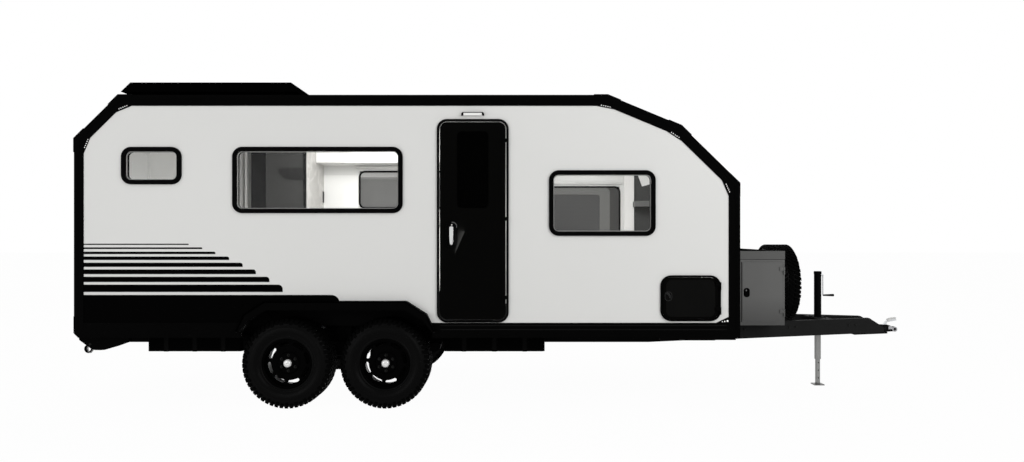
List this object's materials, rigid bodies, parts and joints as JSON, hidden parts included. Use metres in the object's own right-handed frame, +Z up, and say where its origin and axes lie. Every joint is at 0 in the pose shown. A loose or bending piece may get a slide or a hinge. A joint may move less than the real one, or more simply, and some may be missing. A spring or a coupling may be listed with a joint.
{
  "type": "off-road travel caravan",
  "caption": "box body on a tandem trailing-arm chassis with drawbar, jack, front box, spare wheel, side windows, hinged doors and turning wheels",
  "frame": {"origin": "on the ground under the middle of the overall length, on the centre line", "axes": "+X forward, the way it is towed; +Y left; +Z up"},
  "size_m": [7.963, 2.404, 2.961],
  "materials": {
    "panel_white": "smooth light grey composite skin",
    "trim_black": "satin black powder coat",
    "frame_black": "matte black moulding",
    "glass_tint": "tinted acrylic",
    "chassis_black": "black chassis paint",
    "zinc": "zinc plated steel",
    "rubber_black": "black rubber",
    "tyre_black": "tyre rubber",
    "wheel_black": "gloss black steel",
    "box_grey": "grey powder coat",
    "tank_black": "black polyethylene",
    "lamp_red": "red lens",
    "lamp_white": "opal lens",
    "plate_white": "blank white plate",
    "cabinet_white": "white laminate",
    "cabinet_dark": "charcoal laminate",
    "seat_grey": "grey upholstery",
    "floor_board": "floor board",
    "blind_grey": "grey blind"
  },
  "bodies": {
    "caravan": {"side_wall_right": "panel_white", "side_wall_left": "panel_white", "rear_wall": "panel_white", "rear_slope": "panel_white", "roof_panel": "panel_white", "front_slope": "panel_white", "front_wall": "panel_white", "floor_panel": "floor_board", "wheel_boxes": "chassis_black", "edge_frames": "trim_black", "wheel_flares": "frame_black", "window_frames": "frame_black", "window_panes": "glass_tint", "window_blinds": "blind_grey", "door_frames": "frame_black", "door_lamp": "lamp_white", "chassis_rails": "chassis_black", "crossmembers": "chassis_black", "drawbar": "chassis_black", "coupling": "chassis_black", "coupling_lever": "zinc", "water_tanks": "tank_black", "rear_skirts": "trim_black", "rear_bar": "chassis_black", "suspension_arms": "chassis_black", "suspension_hangers": "chassis_black", "air_springs": "rubber_black", "dampers": "zinc", "front_box": "box_grey", "spare_carrier": "chassis_black", "spare_rim": "wheel_black", "spare_tyre": "tyre_black", "jack_tube": "chassis_black", "jack_crank": "zinc", "roof_deck": "frame_black", "tail_lamps": "lamp_red", "number_plate": "plate_white", "overhead_locker": "cabinet_white", "kitchen_bench": "cabinet_white", "wardrobe": "cabinet_dark", "dinette_seats": "seat_grey", "dinette_table": "cabinet_white", "washroom_wall": "cabinet_white"},
    "entry_door": {"entry_door": "frame_black", "door_window": "glass_tint", "door_handle": "zinc"},
    "hatch_door": {"hatch_door": "frame_black"},
    "box_door_right": {"box_door_right": "box_grey"},
    "box_door_left": {"box_door_left": "box_grey"},
    "jack_leg": {"jack_leg": "zinc"},
    "wheel_front_right": {"wheel_rim_front_right": "wheel_black", "tyre_front_right": "tyre_black"},
    "wheel_front_left": {"wheel_rim_front_left": "wheel_black", "tyre_front_left": "tyre_black"},
    "wheel_rear_right": {"wheel_rim_rear_right": "wheel_black", "tyre_rear_right": "tyre_black"},
    "wheel_rear_left": {"wheel_rim_rear_left": "wheel_black", "tyre_rear_left": "tyre_black"}
  },
  "joints": [
    {"name": "wheel_front_right_spin", "type": "hinge", "parent": "caravan", "child": "wheel_front_right", "pos_m": [-1.157, -1.006, 0.402], "axis": [0, 1, 0], "continuous": true},
    {"name": "wheel_front_left_spin", "type": "hinge", "parent": "caravan", "child": "wheel_front_left", "pos_m": [-1.157, 1.006, 0.402], "axis": [0, 1, 0], "continuous": true},
    {"name": "wheel_rear_right_spin", "type": "hinge", "parent": "caravan", "child": "wheel_rear_right", "pos_m": [-2.037, -1.006, 0.402], "axis": [0, 1, 0], "continuous": true},
    {"name": "wheel_rear_left_spin", "type": "hinge", "parent": "caravan", "child": "wheel_rear_left", "pos_m": [-2.037, 1.006, 0.402], "axis": [0, 1, 0], "continuous": true},
    {"name": "entry_door_swing", "type": "hinge", "parent": "caravan", "child": "entry_door", "pos_m": [-0.0605, -1.157, 1.683], "axis": [0, 0, 1], "range_deg": [0, 165]},
    {"name": "hatch_door_swing", "type": "hinge", "parent": "caravan", "child": "hatch_door", "pos_m": [1.836, -1.157, 0.991], "axis": [0, 0, 1], "range_deg": [0, 165]},
    {"name": "box_door_right_swing", "type": "hinge", "parent": "caravan", "child": "box_door_right", "pos_m": [2.5405, -0.769, 1.02], "axis": [0, 0, 1], "range_deg": [0, 110]},
    {"name": "box_door_left_swing", "type": "hinge", "parent": "caravan", "child": "box_door_left", "pos_m": [2.5405, 0.769, 1.02], "axis": [0, 0, -1], "range_deg": [0, 110]},
    {"name": "jack_leg_slide", "type": "slide", "parent": "caravan", "child": "jack_leg", "axis": [0, 0, 1], "range_m": [0, 0.33]}
  ]
}
